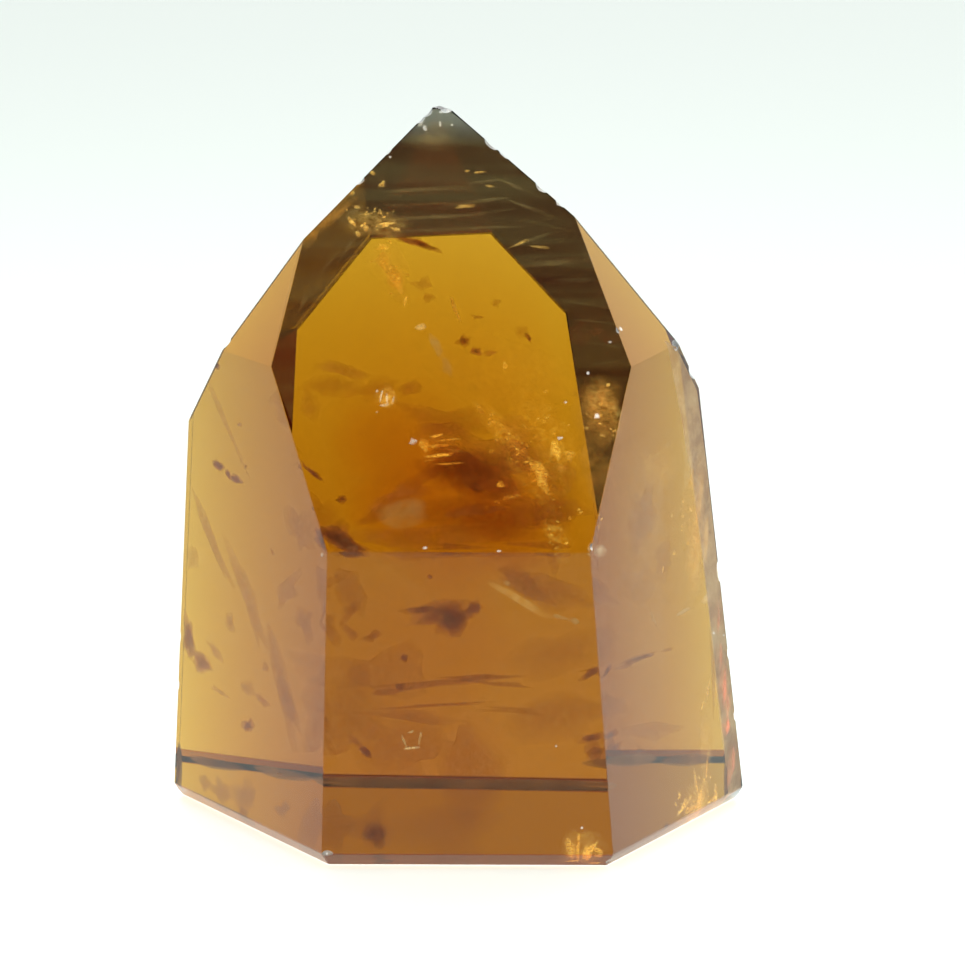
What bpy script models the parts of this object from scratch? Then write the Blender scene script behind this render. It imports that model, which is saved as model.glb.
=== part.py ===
"""Citrine crystal point: one six-sided quartz crystal under a six-faced tip, ground flat to stand.

A lapidary makes such a point by grinding flat faces on a rough crystal, and the model is made the
same way: a block larger than the crystal is cut down by one plane for each face. The crystal is one
grown piece, so it is one object. Z is up, the origin is on the resting face below the crystal's
axis, and -Y is the front.
"""

import math
from typing import NamedTuple

import bmesh
import bpy
from mathutils import Vector

MM = 0.001

NODE_NAME = "crystal_point"

# The rough block that the faces are cut from, larger than the crystal all round.
BLOCK_WIDTH = 80.0 * MM
BLOCK_HEIGHT = 60.0 * MM

# Two points closer than this are one corner.
WELD_DISTANCE = 0.002 * MM

# Golden quartz, seen in a thickness of about 20 mm, and its refraction.
CITRINE_COLOUR = (0.56, 0.29, 0.04, 1.0)
QUARTZ_IOR = 1.544


class Side(NamedTuple):
    """One face of the six-sided body.

    looks is the compass angle that the face looks to, in degrees: 0 is the front, 90 the right.
    leans is how far the face leans in towards the top, in degrees. distance is from the origin to
    the face's plane. chamfer_rise and chamfer_inset are the height of the ground chamfer at its
    foot and how far that chamfer comes in on the resting face.
    """

    looks: float
    leans: float
    distance: float
    chamfer_rise: float
    chamfer_inset: float


class TipFace(NamedTuple):
    """One face of the tip.

    looks is the compass angle that the face looks to, and rises is how far above the horizon it
    looks, both in degrees. meets_axis_at is the height where its plane crosses the Z axis.
    """

    looks: float
    rises: float
    meets_axis_at: float


# A quartz crystal's sides are 60 degrees apart. Hand grinding has moved each by a few degrees, and
# the body narrows upwards. The chamfer was ground wider on the three sides at the front.
SIDES = {
    "front": Side(1.2, 2.4, 14.75 * MM, 0.90 * MM, 0.75 * MM),
    "front_right": Side(61.5, 5.5, 15.35 * MM, 0.90 * MM, 0.75 * MM),
    "back_right": Side(124.3, 6.9, 15.80 * MM, 0.45 * MM, 0.30 * MM),
    "back": Side(177.0, 0.1, 13.50 * MM, 0.45 * MM, 0.30 * MM),
    "back_left": Side(243.8, 2.1, 16.80 * MM, 0.45 * MM, 0.30 * MM),
    "front_left": Side(302.0, 1.9, 15.00 * MM, 0.90 * MM, 0.75 * MM),
}

# The front face and the two back corner faces are the large ones, and meet at the apex. The other
# three are the small ones between them: their planes cross the axis higher up.
TIP_FACES = {
    "front": TipFace(1.2, 33.0, 41.25 * MM),
    "right": TipFace(59.6, 34.5, 48.30 * MM),
    "back_right": TipFace(125.0, 34.8, 45.15 * MM),
    "back": TipFace(180.5, 38.1, 49.25 * MM),
    "back_left": TipFace(244.9, 33.7, 48.70 * MM),
    "left": TipFace(301.7, 29.4, 54.80 * MM),
}

# The very point is worn off, in a small face that dips a little to the right.
WORN_TIP = TipFace(80.0, 83.0, 44.30 * MM)


def direction(looks: float, rises: float) -> Vector:
    """The unit vector at a compass angle and a height above the horizon, both in degrees."""
    compass = math.radians(looks)
    height = math.radians(rises)
    across = math.cos(height)
    return Vector((math.sin(compass) * across, -math.cos(compass) * across, math.sin(height)))


def clear_scene() -> None:
    """Remove what the start-up file holds."""
    for scene_object in list(bpy.data.objects):
        bpy.data.objects.remove(scene_object, do_unlink=True)


def grind(bm: bmesh.types.BMesh, point: Vector, normal: Vector) -> None:
    """Cut away all that lies outside a plane, and close the cut with one flat face."""
    everything = bm.verts[:] + bm.edges[:] + bm.faces[:]
    cut = bmesh.ops.bisect_plane(
        bm, geom=everything, plane_co=point, plane_no=normal, dist=WELD_DISTANCE, clear_outer=True
    )
    rim = [item for item in cut["geom_cut"] if isinstance(item, bmesh.types.BMEdge)]
    bmesh.ops.edgeloop_fill(bm, edges=rim)


def rough_block() -> bmesh.types.BMesh:
    """A block that stands on the ground, to be cut down."""
    bm = bmesh.new()
    bmesh.ops.create_cube(bm, size=1.0)
    bmesh.ops.scale(bm, vec=(BLOCK_WIDTH, BLOCK_WIDTH, BLOCK_HEIGHT), verts=bm.verts)
    bmesh.ops.translate(bm, vec=(0.0, 0.0, BLOCK_HEIGHT / 2), verts=bm.verts)
    return bm


def grind_side(bm: bmesh.types.BMesh, side: Side) -> None:
    """Cut one side of the body and the chamfer at its foot."""
    outwards = direction(side.looks, 0.0)
    lean = math.radians(side.leans)
    foot = outwards * (side.distance / math.cos(lean))
    grind(bm, foot, direction(side.looks, side.leans))

    resting_edge = foot - outwards * side.chamfer_inset
    face_comes_in = side.chamfer_rise * math.tan(lean)
    run = side.chamfer_inset - face_comes_in
    slope = math.degrees(math.atan2(run, side.chamfer_rise))
    grind(bm, resting_edge, direction(side.looks, -slope))


def grind_tip_face(bm: bmesh.types.BMesh, face: TipFace) -> None:
    """Cut one face of the tip."""
    grind(bm, Vector((0.0, 0.0, face.meets_axis_at)), direction(face.looks, face.rises))


def citrine() -> bpy.types.Material:
    """Polished golden quartz: clear, so it is a transmitting material with quartz's own IOR."""
    material = bpy.data.materials.new("polished_citrine")
    material.use_nodes = True
    shader = material.node_tree.nodes["Principled BSDF"]
    shader.inputs["Base Color"].default_value = CITRINE_COLOUR
    shader.inputs["Metallic"].default_value = 0.0
    shader.inputs["Roughness"].default_value = 0.03
    shader.inputs["IOR"].default_value = QUARTZ_IOR
    shader.inputs["Transmission Weight"].default_value = 1.0
    return material


def crystal_point() -> bpy.types.Object:
    """Make the crystal: six sides with their chamfers, six tip faces and the worn point."""
    bm = rough_block()
    for side in SIDES.values():
        grind_side(bm, side)
    for face in TIP_FACES.values():
        grind_tip_face(bm, face)
    grind_tip_face(bm, WORN_TIP)
    bmesh.ops.remove_doubles(bm, verts=bm.verts, dist=WELD_DISTANCE)
    bmesh.ops.recalc_face_normals(bm, faces=bm.faces)

    mesh = bpy.data.meshes.new(NODE_NAME)
    bm.to_mesh(mesh)
    bm.free()
    mesh.materials.append(citrine())
    crystal = bpy.data.objects.new(NODE_NAME, mesh)
    bpy.context.scene.collection.objects.link(crystal)
    return crystal


clear_scene()
crystal_point()
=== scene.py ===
"""Citrine crystal point: the looks of a polished golden quartz point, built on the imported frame."""

from __future__ import annotations

import logging
import math
import random
from collections.abc import Sequence
from dataclasses import dataclass
from typing import NamedTuple

import bmesh
import bpy
from bmesh.types import BMEdge, BMesh
from bpy.types import Material, Mesh, Node, NodeSocket, NodeTree, Object
from mathutils import Matrix, Vector, noise
from mathutils.bvhtree import BVHTree
from mathutils.geometry import intersect_point_line


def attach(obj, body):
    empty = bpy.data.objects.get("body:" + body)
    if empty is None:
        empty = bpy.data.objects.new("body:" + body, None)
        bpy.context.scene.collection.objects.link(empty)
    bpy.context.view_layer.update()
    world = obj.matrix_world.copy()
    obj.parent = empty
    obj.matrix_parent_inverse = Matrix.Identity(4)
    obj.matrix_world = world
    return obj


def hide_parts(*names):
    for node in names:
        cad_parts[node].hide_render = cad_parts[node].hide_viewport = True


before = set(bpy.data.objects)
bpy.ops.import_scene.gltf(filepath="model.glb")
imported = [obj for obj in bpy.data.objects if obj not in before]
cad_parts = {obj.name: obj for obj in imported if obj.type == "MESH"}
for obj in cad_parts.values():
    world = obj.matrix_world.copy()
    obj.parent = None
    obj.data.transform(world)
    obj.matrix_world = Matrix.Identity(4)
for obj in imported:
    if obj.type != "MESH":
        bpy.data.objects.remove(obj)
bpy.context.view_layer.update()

log = logging.getLogger("citrine_point")

Pair = tuple[float, float]
Triple = tuple[float, float, float]
Stops = tuple[tuple[float, str], ...]

MM = 0.001
NODE = "crystal_point"
BODY = "root"
FADE = "fade"
AIR = 1.0
QUARTZ = 1.544


# ---- helpers


def linear(hex_colour: str) -> tuple[float, float, float, float]:
    """Turn an sRGB hex colour into the linear colour that shaders take.

    Args:
        hex_colour: six hex digits, such as "C88A20".

    Returns:
        Red, green and blue in linear light, and an alpha of 1.
    """
    channels = [int(hex_colour[i : i + 2], 16) / 255 for i in (0, 2, 4)]
    red, green, blue = (c / 12.92 if c <= 0.04045 else ((c + 0.055) / 1.055) ** 2.4 for c in channels)
    return red, green, blue, 1.0


def set_values(node: Node, settings: dict) -> None:
    """Set some of a node's values.

    Args:
        node: the node.
        settings: values by name, an input socket's name or number, or else the node's own property.
            "stops" are a colour ramp's places from 0 to 1, each with its sRGB hex colour.
    """
    for name, value in settings.items():
        if name == "stops":
            elements = node.color_ramp.elements
            while len(elements) < len(value):
                elements.new(0.5)
            for element, (place, colour) in zip(elements, value):
                element.position = place
                element.color = linear(colour)
        elif isinstance(name, str) and hasattr(node, name):
            setattr(node, name, value)
        else:
            node.inputs[name].default_value = value


def add_node(
    tree: NodeTree, kind: str, settings: dict | None = None, links: dict | None = None
) -> Node:
    """Add a node to a tree, with its settings and what feeds it.

    Args:
        tree: the node tree.
        kind: the node's class name, without the leading "ShaderNode".
        settings: what set_values takes.
        links: output sockets by the name or number of the input that they feed.

    Returns:
        The new node.
    """
    node = tree.nodes.new("ShaderNode" + kind)
    set_values(node, settings or {})
    for name, output in (links or {}).items():
        tree.links.new(output, node.inputs[name])
    return node


def new_material(name: str) -> tuple[Material, NodeTree, Node]:
    """Start a material.

    Args:
        name: its name.

    Returns:
        The material, its node tree and its shader.
    """
    material = bpy.data.materials.new(name)
    material.use_nodes = True
    return material, material.node_tree, material.node_tree.nodes["Principled BSDF"]


def direction(looks: float, rises: float) -> Vector:
    """Give the unit vector at a compass angle and a height above the horizon.

    Args:
        looks: compass angle in degrees, 0 to the front (-Y) and 90 to the right (+X).
        rises: height above the horizon, in degrees.

    Returns:
        The unit vector.
    """
    compass, height = math.radians(looks), math.radians(rises)
    across = math.cos(height)
    return Vector((math.sin(compass) * across, -math.cos(compass) * across, math.sin(height)))


def faceted_body() -> BMesh:
    """Take the frame's solid, joined up and with one polygon for each ground face.

    Returns:
        The solid, which the caller frees.
    """
    weld = 0.003 * MM
    flat_within = math.radians(0.5)
    bm = bmesh.new()
    bm.from_mesh(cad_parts[NODE].data)
    bmesh.ops.remove_doubles(bm, verts=bm.verts, dist=weld)
    bmesh.ops.dissolve_limit(bm, angle_limit=flat_within, verts=bm.verts, edges=bm.edges)
    return bm


def nearest_edge(body: BMesh, point: Vector) -> tuple[Vector, Vector]:
    """Find the place on the body's edges that is nearest to a point.

    Args:
        body: the crystal's faces.
        point: a point near it.

    Returns:
        The place, and the unit vector that leads out of the body between the edge's two faces.
    """
    nearest = None
    for edge in body.edges:
        start, end = (vert.co for vert in edge.verts)
        share = min(max(intersect_point_line(point, start, end)[1], 0.0), 1.0)
        place = start.lerp(end, share)
        if nearest is None or (place - point).length < (nearest[0] - point).length:
            nearest = (place, sum((face.normal for face in edge.link_faces), Vector()).normalized())
    return nearest


def finished_piece(name: str, bm: BMesh, material: Material) -> Object:
    """Turn a bmesh into an object.

    Args:
        name: the piece's name.
        bm: its shape, freed here.
        material: its finish.

    Returns:
        The piece, at the origin, with its place in its mesh.
    """
    mesh = bpy.data.meshes.new(name)
    bm.to_mesh(mesh)
    bm.free()
    mesh.materials.append(material)
    piece = bpy.data.objects.new(name, mesh)
    bpy.context.scene.collection.objects.link(piece)
    piece.visible_shadow = False
    return piece


def carried_piece(name: str, bm: BMesh, material: Material) -> Object:
    """Turn a bmesh into an object that is part of the crystal.

    Args:
        name: the piece's name.
        bm: its shape, freed here.
        material: its finish.

    Returns:
        The piece, riding on the body.
    """
    piece = finished_piece(name, bm, material)
    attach(piece, BODY)
    return piece


# ---- the view


@dataclass(frozen=True)
class FrontView:
    """The view of the crystal's front that the camera has, in a square picture of 965 pixels."""

    picture_size: int = 965
    rises: float = 12.72
    distance: float = 378.7 * MM
    roll: float = 0.54
    aim: Triple = (1.31 * MM, 0.0, 21.02 * MM)
    focal_length: float = 223.8
    sensor_width: float = 36.0

    def matrix(self) -> Matrix:
        """Give the camera's place and turn.

        Returns:
            The camera's matrix in the frame.
        """
        turn = Matrix.Rotation(math.radians(90.0 - self.rises), 4, "X")
        roll = Matrix.Rotation(math.radians(self.roll), 4, "Z")
        place = Vector(self.aim) + direction(0.0, self.rises) * self.distance
        return Matrix.Translation(place) @ turn @ roll

    def pixel(self) -> float:
        """Give the real size of one picture pixel at the crystal."""
        return self.sensor_width / self.focal_length * self.distance / self.picture_size

    def way_to(self, across: float, down: float) -> Vector:
        """Give the line of sight through a point of the picture.

        Args:
            across: pixels from the picture's left edge.
            down: pixels from its top edge.

        Returns:
            The unit vector from the camera.
        """
        half = self.picture_size / 2
        pixel_angle = self.sensor_width / self.focal_length / self.picture_size
        way = Vector(((across - half) * pixel_angle, (half - down) * pixel_angle, -1.0))
        return (self.matrix().to_3x3() @ way).normalized()


class Sight:
    """Looks into the crystal through its front, bending at the surface as light does."""

    def __init__(self, view: FrontView) -> None:
        """Take the crystal's faces as they stand in the frame.

        Args:
            view: the view that the lines of sight are in.
        """
        self.view = view
        body = faceted_body()
        self.faces = BVHTree.FromBMesh(body)
        self.walls = [(face.calc_center_median(), face.normal.copy()) for face in body.faces]
        body.free()
        self.camera = view.matrix().translation
        self.right = view.matrix().to_3x3() @ Vector((1.0, 0.0, 0.0))

    def kept_inside(self, place: Vector, margin: float) -> Vector:
        """Move a place back under every face of the crystal that it comes too near to.

        Args:
            place: where a film would reach.
            margin: the least depth under a face.

        Returns:
            The place, moved where it had to be.
        """
        for middle, normal in self.walls:
            too_far = (place - middle).dot(normal) + margin
            if too_far > 0.0:
                place = place - normal * too_far
        return place

    def enter(self, across: float, down: float) -> tuple[Vector, Vector] | None:
        """Find where a line of sight meets the crystal and how it goes on inside.

        Args:
            across: pixels from the picture's left edge.
            down: pixels from its top edge.

        Returns:
            The point on the surface and the bent unit vector, or None where it misses.
        """
        way = self.view.way_to(across, down)
        point, normal, _, _ = self.faces.ray_cast(self.camera, way)
        if point is None:
            return None
        ratio = AIR / QUARTZ
        facing = -way.dot(normal)
        bent_facing = math.sqrt(1.0 - ratio * ratio * (1.0 - facing * facing))
        bent = way * ratio + normal * (ratio * facing - bent_facing)
        return point, bent.normalized()


# ---- finishes


@dataclass(frozen=True)
class PolishedCitrine:
    """Golden quartz, ground flat and polished on a felt wheel.

    The polish gives sharp clear reflections. The colour is in the stone, not on it: light that has
    crossed 20 mm comes out gold, and light that has crossed 60 mm comes out dark brown. The
    volume's density is a little above its strongest absorption, so that no colour is quite black.
    """

    name: str = "polished_citrine"
    roughness: float = 0.015
    clear: float = 1.0
    tint: str = "FFFFFF"
    absorption_per_metre: Triple = (41.0, 81.0, 246.0)
    headroom: float = 1.02

    def material(self) -> Material:
        """Make the material.

        Returns:
            Quartz that is clear outside and coloured through its volume.
        """
        material, tree, shader = new_material(self.name)
        polish = {"Roughness": self.roughness, "IOR": QUARTZ, "Transmission Weight": self.clear}
        set_values(shader, {"Base Color": linear(self.tint), **polish})
        density = max(self.absorption_per_metre) * self.headroom
        colour = [1.0 - absorbed / density for absorbed in self.absorption_per_metre]
        volume = add_node(tree, "VolumeAbsorption", {"Color": (*colour, 1.0), "Density": density})
        tree.links.new(volume.outputs["Volume"], tree.nodes["Material Output"].inputs["Volume"])
        return material


@dataclass(frozen=True)
class ChippedCitrine(PolishedCitrine):
    """The same quartz where it is chipped: a shelly break, which is frosted and pale."""

    name: str = "chipped_citrine"
    roughness: float = 0.4
    clear: float = 0.7


@dataclass(frozen=True)
class GroundCitrine(PolishedCitrine):
    """The same quartz where it is ground but hardly polished, round its foot: satin, with an orange tint
    that is painted warm light.
    """

    name: str = "ground_citrine_painted_warm_light"
    roughness: float = 0.03
    # Painted warm light: the orange tint stands in for light coming through the stone to its foot.
    tint: str = "E89C58"


@dataclass(frozen=True)
class Clouding:
    """A cloudy pattern in the stone, with clouds of a real length and height."""

    length: float
    height: float
    tilt: float = 0.0
    detail: float = 2.0
    roughness: float = 0.5
    distortion: float = 0.0

    def add_to(self, tree: NodeTree, stops: Stops) -> tuple[NodeSocket, NodeSocket]:
        """Add the pattern to a material.

        Args:
            tree: the material's nodes.
            stops: its colours, from thin to thick.

        Returns:
            How thick the clouds are, and their colour.
        """
        place = add_node(tree, "TexCoord").outputs["Object"]
        along = 1.0 / self.length
        sizes = {"Scale": (along, along, 1.0 / self.height)}
        tilt = {"Rotation": (0.0, math.radians(self.tilt), 0.0)}
        turned = add_node(tree, "Mapping", {**sizes, **tilt}, {"Vector": place})
        grain = {"Detail": self.detail, "Roughness": self.roughness, "Distortion": self.distortion}
        clouds = add_node(tree, "TexNoise", {"Scale": 1.0, **grain}, {"Vector": turned.outputs[0]})
        colour = add_node(tree, "ValToRGB", {"stops": stops}, {"Fac": clouds.outputs[0]})
        return clouds.outputs[0], colour.outputs["Color"]


def add_climb(tree: NodeTree, start: float, end: float) -> NodeSocket:
    """Give a material a value that climbs smoothly from 0 to 1 between two heights.

    Args:
        tree: the material's nodes.
        start: the height, in metres, where the value is 0.
        end: the height where it is 1.

    Returns:
        The value.
    """
    place = add_node(tree, "TexCoord").outputs["Object"]
    height = add_node(tree, "SeparateXYZ", links={0: place}).outputs["Z"]
    heights = {"interpolation_type": "SMOOTHSTEP", "From Min": start, "From Max": end}
    return add_node(tree, "MapRange", heights, {"Value": height}).outputs[0]


@dataclass(frozen=True)
class GrowthBandShade:
    """Dark banded layers laid down under the natural faces at the back of the tip.

    They hold light back like dark glass. The layers show as level bands, and they thin out to
    nothing further down the crystal. The bands are the stone's own growth layers; their darkness is
    partly painted shade, for the shade under the stone that shows through the back of the tip.
    """

    bands: Clouding = Clouding(30.0 * MM, 1.3 * MM, 3.0)
    shade_stops: Stops = ((0.36, "463830"), (0.47, "584E40"), (0.55, "6C6250"), (0.64, "4A3C32"))
    clear_below: float = 17.0 * MM
    solid_above: float = 23.0 * MM

    def material(self) -> Material:
        """Make the material.

        Returns:
            Clear layers that darken what is seen through them.
        """
        material, tree, shader = new_material("growth_bands_painted_shade")
        # Partly painted shade: the banded dark tint darkens what is seen through the back of the tip.
        _, banded = self.bands.add_to(tree, self.shade_stops)
        thickness = add_climb(tree, self.clear_below, self.solid_above)
        clear = {"data_type": "RGBA", 6: linear("FFFFFF")}
        colour = add_node(tree, "Mix", clear, {0: thickness, 7: banded})
        tree.links.new(colour.outputs[2], shader.inputs["Base Color"])
        set_values(shader, {"Roughness": 0.0, "Specular IOR Level": 0.0})
        set_values(shader, {"IOR": AIR, "Transmission Weight": 1.0})
        return material


@dataclass(frozen=True)
class OliveHaze:
    """Very fine bubbles caught in the growth layers, which scatter an olive and brown haze.

    The layers show as nearly level bands, rustier further down, and the very tip is paler and greyer.
    """

    bands: Clouding = Clouding(26.0 * MM, 1.5 * MM, -5.0, detail=3.0, distortion=0.6)
    haze: Stops = ((0.34, "966440"), (0.47, "A88050"), (0.60, "B49A64"), (0.72, "9C7048"))
    rust: str = "FFD8A8"
    rust_from: float = 41.0 * MM
    rust_to: float = 28.0 * MM
    cap: str = "D8DCC8"
    cap_from: float = 42.2 * MM
    cap_to: float = 44.0 * MM
    cap_density: float = 0.30
    thin_at: float = 0.35
    thick_at: float = 0.65
    least_density: float = 0.17
    most_density: float = 0.21
    roughness: float = 0.9

    def material(self) -> Material:
        """Make the material.

        Returns:
            Matt haze, denser in its bands and in its cap.
        """
        material, tree, shader = new_material("olive_growth_haze")
        clouds, banded = self.bands.add_to(tree, self.haze)
        rusty = add_climb(tree, self.rust_from, self.rust_to)
        rust = {"data_type": "RGBA", "blend_type": "MULTIPLY", 7: linear(self.rust)}
        rusted = add_node(tree, "Mix", rust, {0: rusty, 6: banded}).outputs[2]
        cap = add_climb(tree, self.cap_from, self.cap_to)
        pale = {"data_type": "RGBA", 7: linear(self.cap)}
        colour = add_node(tree, "Mix", pale, {0: cap, 6: rusted}).outputs[2]
        span = {"From Min": self.thin_at, "From Max": self.thick_at}
        densities = {"To Min": self.least_density, "To Max": self.most_density}
        layered = add_node(tree, "MapRange", {**span, **densities}, {"Value": clouds}).outputs[0]
        capped = add_node(tree, "Math", {"operation": "MULTIPLY", 1: self.cap_density}, {0: cap}).outputs[0]
        denser = add_node(tree, "Math", {"operation": "MAXIMUM"}, {0: layered, 1: capped}).outputs[0]
        fade = add_node(tree, "Attribute", {"attribute_name": FADE}).outputs["Fac"]
        alpha = add_node(tree, "Math", {"operation": "MULTIPLY"}, {0: fade, 1: denser}).outputs[0]
        tree.links.new(colour, shader.inputs["Base Color"])
        tree.links.new(alpha, shader.inputs["Alpha"])
        set_values(shader, {"Roughness": self.roughness, "Specular IOR Level": 0.0})
        return material


@dataclass(frozen=True)
class Film:
    """The finish of thin films and stains sealed inside the stone.

    A film is strongest in its middle and breaks up into grains and wisps towards its rim. A clear
    film tints what is seen through it, as a stain does; an opaque one scatters light itself. A film
    that gives off light of its own is painted light: a painted glint, not a lamp.
    The grain is its real width; it is flatter than it is wide by the flatness.
    """

    name: str
    dark: str
    light: str
    grain: float
    flatness: float = 1.0
    strength: float = 1.0
    broken: float = 0.5
    clear: float = 0.0
    painted_glow: float = 0.0
    sparse: float = 0.0
    roughness: float = 0.8
    dark_at: float = 0.35
    light_at: float = 0.65
    broken_below: float = 0.3
    broken_above: float = 0.1

    def add_alpha(self, tree: NodeTree, grains: NodeSocket) -> NodeSocket:
        """Work out how dense the film is, from its grains and from how near its rim is.

        Args:
            tree: the material's nodes.
            grains: how thick its grains are.

        Returns:
            The film's density, from 0 to 1.
        """
        half = 0.5 + self.sparse
        gap = {"From Min": half - self.broken_below * self.broken, "To Min": 1.0 - self.broken}
        full = {"From Max": half + self.broken_above * self.broken, "To Max": 1.0}
        patchy = add_node(tree, "MapRange", {**gap, **full}, {"Value": grains}).outputs[0]
        fade = add_node(tree, "Attribute", {"attribute_name": FADE}).outputs["Fac"]
        product = {"operation": "MULTIPLY", "use_clamp": True}
        alpha = add_node(tree, "Math", product, {0: fade, 1: patchy}).outputs[0]
        return add_node(tree, "Math", {"operation": "MULTIPLY", 1: self.strength}, {0: alpha}).outputs[0]

    def material(self) -> Material:
        """Make the material.

        Returns:
            The film's finish.
        """
        material, tree, shader = new_material(self.name)
        pattern = Clouding(self.grain, self.grain / self.flatness, detail=4.0, roughness=0.65)
        grains, colour = pattern.add_to(tree, ((self.dark_at, self.dark), (self.light_at, self.light)))
        tree.links.new(colour, shader.inputs["Base Color"])
        tree.links.new(self.add_alpha(tree, grains), shader.inputs["Alpha"])
        set_values(shader, {"Specular IOR Level": 0.0, "Roughness": self.roughness})
        if self.clear:
            set_values(shader, {"Roughness": 0.0, "IOR": AIR, "Transmission Weight": self.clear})
        # Painted glint: the film gives off light of its own, standing in for light it would catch from
        # elsewhere.
        if self.painted_glow:
            tree.links.new(colour, shader.inputs["Emission Color"])
            set_values(shader, {"Emission Strength": self.painted_glow})
        return material


@dataclass(frozen=True)
class WhiteBoard:
    """White board with a pearl lacquer: a pale floor that sends light on rather than back."""

    colour: str = "F2F5F3"
    pearl: float = 0.85
    roughness: float = 0.6

    def material(self) -> Material:
        """Make the material.

        Returns:
            The lacquered board.
        """
        material, _, shader = new_material("pearl_white_board")
        lacquer = {"Metallic": self.pearl, "Roughness": self.roughness}
        set_values(shader, {"Base Color": linear(self.colour), **lacquer})
        return material


# ---- the crystal


class Chip(NamedTuple):
    """A small shelly chip in an edge, given by where it shows in the front view.

    across, down: its middle, in picture pixels from the left and the top edge.
    radius: of the ball that fits it, in millimetres.
    bite: how deep it goes, in millimetres.
    """

    across: float
    down: float
    radius: float
    bite: float


@dataclass
class Crystal:
    """The crystal itself, with its ground edges softened and chipped here and there."""

    edge_round: float = 0.08 * MM
    edge_segments: int = 4
    foot_height: float = 2.0 * MM
    foot_tilt: float = 0.1
    foot_round: float = 0.10 * MM
    least_angle: float = math.radians(18.0)
    scoop_detail: int = 3
    uneven: float = 0.16
    unevenness_scale: float = 1.3
    step_between_scoops: float = 5.0
    finish: PolishedCitrine = PolishedCitrine()
    ground: GroundCitrine = GroundCitrine()
    broken: ChippedCitrine = ChippedCitrine()
    chips: Sequence[Chip] = (
        Chip(428, 113, 0.9, 0.16), Chip(447, 111, 0.8, 0.16), Chip(421, 120, 0.6, 0.12),
        Chip(492, 145, 0.9, 0.16), Chip(503, 155, 0.6, 0.10), Chip(541, 188, 0.9, 0.18),
        Chip(559, 204, 0.6, 0.14), Chip(391, 152, 0.6, 0.08), Chip(361, 182, 0.6, 0.10),
        Chip(229, 345, 0.7, 0.12), Chip(198, 398, 1.4, 0.22), Chip(191, 412, 1.0, 0.18),
        Chip(183, 640, 0.8, 0.08), Chip(180, 686, 0.8, 0.10), Chip(621, 331, 0.4, 0.07),
        Chip(594, 549, 0.5, 0.07), Chip(676, 344, 0.9, 0.14), Chip(690, 374, 1.2, 0.18),
        Chip(714, 575, 1.2, 0.22), Chip(727, 655, 0.8, 0.10), Chip(735, 716, 0.8, 0.10),
        Chip(667, 834, 0.7, 0.14), Chip(327, 855, 0.6, 0.12), Chip(606, 861, 0.6, 0.10),
    )

    def soften_edges(self, bm: BMesh) -> None:
        """Round the foot's edges well and every other edge a little, as polishing does.

        Args:
            bm: the crystal, changed here.
        """
        foot = [edge for edge in bm.edges if max(vert.co.z for vert in edge.verts) < self.foot_height]
        self.round_edges(bm, foot, self.foot_round)
        bm.normal_update()
        whole = [edge for edge in bm.edges if edge.is_manifold]
        ridges = [edge for edge in whole if edge.calc_face_angle() > self.least_angle]
        self.round_edges(bm, ridges, self.edge_round)

    def round_edges(self, bm: BMesh, edges: list[BMEdge], width: float) -> None:
        """Round some edges.

        Args:
            bm: the crystal.
            edges: which edges.
            width: how far the rounding reaches from the edge.
        """
        shape = {"offset_type": "OFFSET", "affect": "EDGES", "profile": 0.5, "clamp_overlap": True}
        bmesh.ops.bevel(bm, geom=edges, offset=width, segments=self.edge_segments, material=-1, **shape)

    def chip_scoops(self, sight: Sight) -> Object:
        """Shape the scoops that the chips are cut with, each an uneven ball.

        Args:
            sight: the way into the crystal.

        Returns:
            The scoops, all in one object.
        """
        body = faceted_body()
        bm = bmesh.new()
        for number, chip in enumerate(self.chips):
            entry = sight.enter(chip.across, chip.down)
            if entry is None:
                continue
            on_edge, outward = nearest_edge(body, entry[0])
            radius = chip.radius * MM
            middle = on_edge + outward * (radius - chip.bite * MM)
            ball = bmesh.ops.create_icosphere(bm, subdivisions=self.scoop_detail, radius=radius)
            aside = Vector((self.step_between_scoops * number, 0.0, 0.0))
            for vert in ball["verts"]:
                seed = vert.co / radius * self.unevenness_scale + aside
                vert.co = middle + vert.co * (1.0 + self.uneven * noise.noise(seed))
        body.free()
        return finished_piece("chip_scoops", bm, self.broken.material())

    def chip_edges(self, piece: Object, sight: Sight) -> None:
        """Cut the chips out of the crystal and leave their faces frosted.

        Args:
            piece: the crystal, changed here.
            sight: the way into it.
        """
        scoops = self.chip_scoops(sight)
        piece.data.materials.append(scoops.data.materials[0])
        cut = piece.modifiers.new("chips", "BOOLEAN")
        cut.operation = "DIFFERENCE"
        cut.solver = "EXACT"
        cut.use_self = True
        cut.material_mode = "TRANSFER"
        cut.object = scoops
        chipped = bpy.data.meshes.new_from_object(piece.evaluated_get(bpy.context.evaluated_depsgraph_get()))
        piece.modifiers.clear()
        piece.data = chipped
        bpy.data.objects.remove(scoops)

    def build(self, sight: Sight) -> Object:
        """Make the crystal and put it in the place of the frame's plain solid.

        Args:
            sight: the way into the crystal.

        Returns:
            The crystal.
        """
        bm = faceted_body()
        for face in bm.faces:
            # The foot's sloping faces take the second finish, with its painted warm light.
            face.material_index = int(self.foot_tilt < -face.normal.z < 1.0 - self.foot_tilt)
        self.soften_edges(bm)
        piece = finished_piece("polished_crystal", bm, self.finish.material())
        piece.data.materials.append(self.ground.material())
        self.chip_edges(piece, sight)
        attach(piece, BODY)
        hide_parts(NODE)
        return piece


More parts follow.
